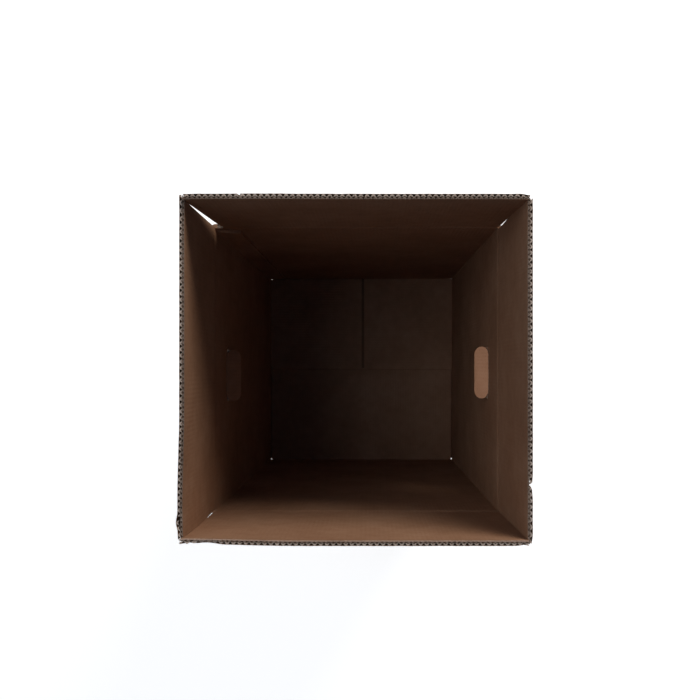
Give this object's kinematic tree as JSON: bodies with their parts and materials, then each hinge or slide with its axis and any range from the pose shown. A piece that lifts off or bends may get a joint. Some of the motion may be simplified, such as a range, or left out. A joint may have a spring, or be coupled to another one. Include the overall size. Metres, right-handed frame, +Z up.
{
  "type": "cardboard moving box",
  "caption": "Tall square carton of double-wall corrugated board, standing open with its top flaps up, hand holes in two walls and a taped bottom.",
  "frame": {"origin": "middle of the footprint, at the level of the floor the box stands on", "axes": "+Z up out of the open top, +X to the right wall, +Y to the back wall; the hand holes are in the left and right walls"},
  "size_m": [0.4576, 0.4572, 0.9392],
  "materials": {
    "kraft_board": "matt unprinted kraft liner",
    "packing_tape": "glossy brown packing tape"
  },
  "bodies": {
    "carton": {"carton_shell": "kraft_board", "bottom_tape": "packing_tape"},
    "left_flap": {"top_flap_left": "kraft_board"},
    "right_flap": {"top_flap_right": "kraft_board"},
    "front_flap": {"top_flap_front": "kraft_board"},
    "back_flap": {"top_flap_back": "kraft_board"},
    "left_tab": {"handle_flap_left": "kraft_board"},
    "right_tab": {"handle_flap_right": "kraft_board"}
  },
  "joints": [
    {"name": "left_flap_fold", "type": "hinge", "parent": "carton", "child": "left_flap", "pos_m": [-0.22875, 0, 0.7042], "axis": [0, 1, 0], "range_deg": [-176.25, 88.75]},
    {"name": "right_flap_fold", "type": "hinge", "parent": "carton", "child": "right_flap", "pos_m": [0.22875, 0, 0.7042], "axis": [0, -1, 0], "range_deg": [-175, 90]},
    {"name": "front_flap_fold", "type": "hinge", "parent": "carton", "child": "front_flap", "pos_m": [0, -0.22875, 0.7112], "axis": [-1, 0, 0], "range_deg": [-176.05, 88.95]},
    {"name": "back_flap_fold", "type": "hinge", "parent": "carton", "child": "back_flap", "pos_m": [0, 0.22875, 0.7112], "axis": [1, 0, 0], "range_deg": [-176.25, 88.75]},
    {"name": "left_tab_fold", "type": "hinge", "parent": "carton", "child": "left_tab", "pos_m": [-0.22185, -0.01, 0.6092], "axis": [0, -1, 0], "range_deg": [-42, 118]},
    {"name": "right_tab_fold", "type": "hinge", "parent": "carton", "child": "right_tab", "pos_m": [0.22185, -0.0058, 0.6092], "axis": [0, 1, 0], "range_deg": [-42, 118]}
  ]
}
